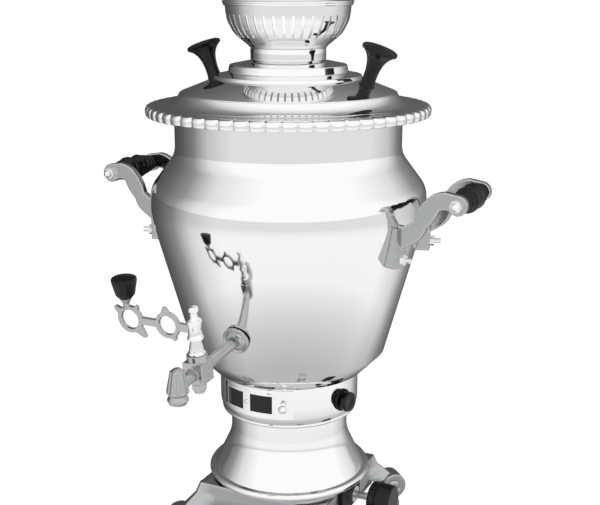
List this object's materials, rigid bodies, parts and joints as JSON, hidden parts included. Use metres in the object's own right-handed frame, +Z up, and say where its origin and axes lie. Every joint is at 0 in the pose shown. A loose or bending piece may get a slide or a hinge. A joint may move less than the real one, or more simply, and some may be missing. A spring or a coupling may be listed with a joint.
{
  "type": "samovar",
  "caption": "Gas-heated samovar: round urn with lobed crown, lift-off lid, pierced teapot gallery, fancy lever tap, side handles, sliding fire door and four-legged stand.",
  "frame": {"origin": "on the urn's axis, on the floor under the feet", "axes": "+Z up along the urn's axis; -Y out through the tap; +X through the gas knob and right handle"},
  "size_m": [0.4166, 0.377, 0.585],
  "materials": {
    "chrome_steel": "polished",
    "satin_cast": "satin cast",
    "plain_steel": "brushed",
    "black_bakelite": "polished black",
    "black_plastic": "matt",
    "brass": "turned",
    "burner_alloy": "cast",
    "seal_rubber": "matt",
    "mica": "clear mica"
  },
  "bodies": {
    "frame": {"ball_feet": "satin_cast", "base_screws": "plain_steel", "base_skirt": "chrome_steel", "base_stand": "satin_cast", "burner_bracket": "plain_steel", "burner_cap": "burner_alloy", "burner_collar": "chrome_steel", "burner_head": "burner_alloy", "crown_ring": "chrome_steel", "flue_tube": "plain_steel", "gas_pipe": "brass", "gas_valve_body": "black_plastic", "grip_rods": "chrome_steel", "handle_bolts": "chrome_steel", "handle_bracket_left_front": "satin_cast", "handle_bracket_left_rear": "satin_cast", "handle_bracket_right_front": "satin_cast", "handle_bracket_right_rear": "satin_cast", "handle_grip_left": "black_bakelite", "handle_grip_right": "black_bakelite", "hose_tail": "brass", "igniter_electrode": "plain_steel", "igniter_housing": "black_plastic", "igniter_nut": "plain_steel", "injector": "brass", "mixing_tube": "plain_steel", "rod_nuts": "chrome_steel", "tank_floor": "plain_steel", "tap_body": "satin_cast", "tap_lock_nut": "brass", "tap_nozzle": "satin_cast", "tap_rosette": "satin_cast", "tap_seals": "seal_rubber", "tap_shank": "satin_cast", "thermocouple": "brass", "urn_body": "chrome_steel", "valve_nut": "chrome_steel"},
    "lid": {"lid": "chrome_steel", "lid_knob_left": "black_bakelite", "lid_knob_right": "black_bakelite", "lid_knob_screws": "plain_steel"},
    "gallery": {"gallery_neck": "chrome_steel", "gallery_bowl": "chrome_steel", "gallery_rim": "chrome_steel", "gallery_grate": "chrome_steel"},
    "tap_key": {"tap_plug": "brass", "tap_key_hub": "chrome_steel", "tap_lever": "satin_cast", "tap_lever_knob": "black_bakelite", "plug_washer": "seal_rubber", "plug_nut": "satin_cast"},
    "door": {"fire_door": "chrome_steel", "window_frame": "chrome_steel", "window_panes": "mica", "door_screw": "chrome_steel", "door_keeper": "plain_steel", "door_knob": "chrome_steel"},
    "button": {"igniter_button": "black_bakelite"},
    "valve_spindle": {"valve_stem": "plain_steel"},
    "gas_knob": {"valve_knob": "black_bakelite"}
  },
  "joints": [
    {"name": "lid_lift", "type": "slide", "parent": "frame", "child": "lid", "axis": [0, 0, 1], "range_m": [0, 0.06]},
    {"name": "gallery_lift", "type": "slide", "parent": "lid", "child": "gallery", "axis": [0, 0, 1], "range_m": [0, 0.04]},
    {"name": "tap_turn", "type": "hinge", "parent": "frame", "child": "tap_key", "pos_m": [0, -0.186, 0.256], "axis": [0, -0.0958, 0.9954], "range_deg": [0, 90]},
    {"name": "door_slide", "type": "hinge", "parent": "frame", "child": "door", "pos_m": [0, 0, 0.182], "axis": [0, 0, 1], "range_deg": [-5, 30]},
    {"name": "button_press", "type": "slide", "parent": "frame", "child": "button", "axis": [-0.9636, 0.2672, 0], "range_m": [0, 0.004], "stiffness_N_per_m": 1500},
    {"name": "valve_push", "type": "slide", "parent": "frame", "child": "valve_spindle", "axis": [-1, 0, 0], "range_m": [0, 0.003], "stiffness_N_per_m": 1200},
    {"name": "valve_turn", "type": "hinge", "parent": "valve_spindle", "child": "gas_knob", "pos_m": [0.1, 0, 0.0615], "axis": [1, 0, 0], "range_deg": [0, 180]}
  ]
}
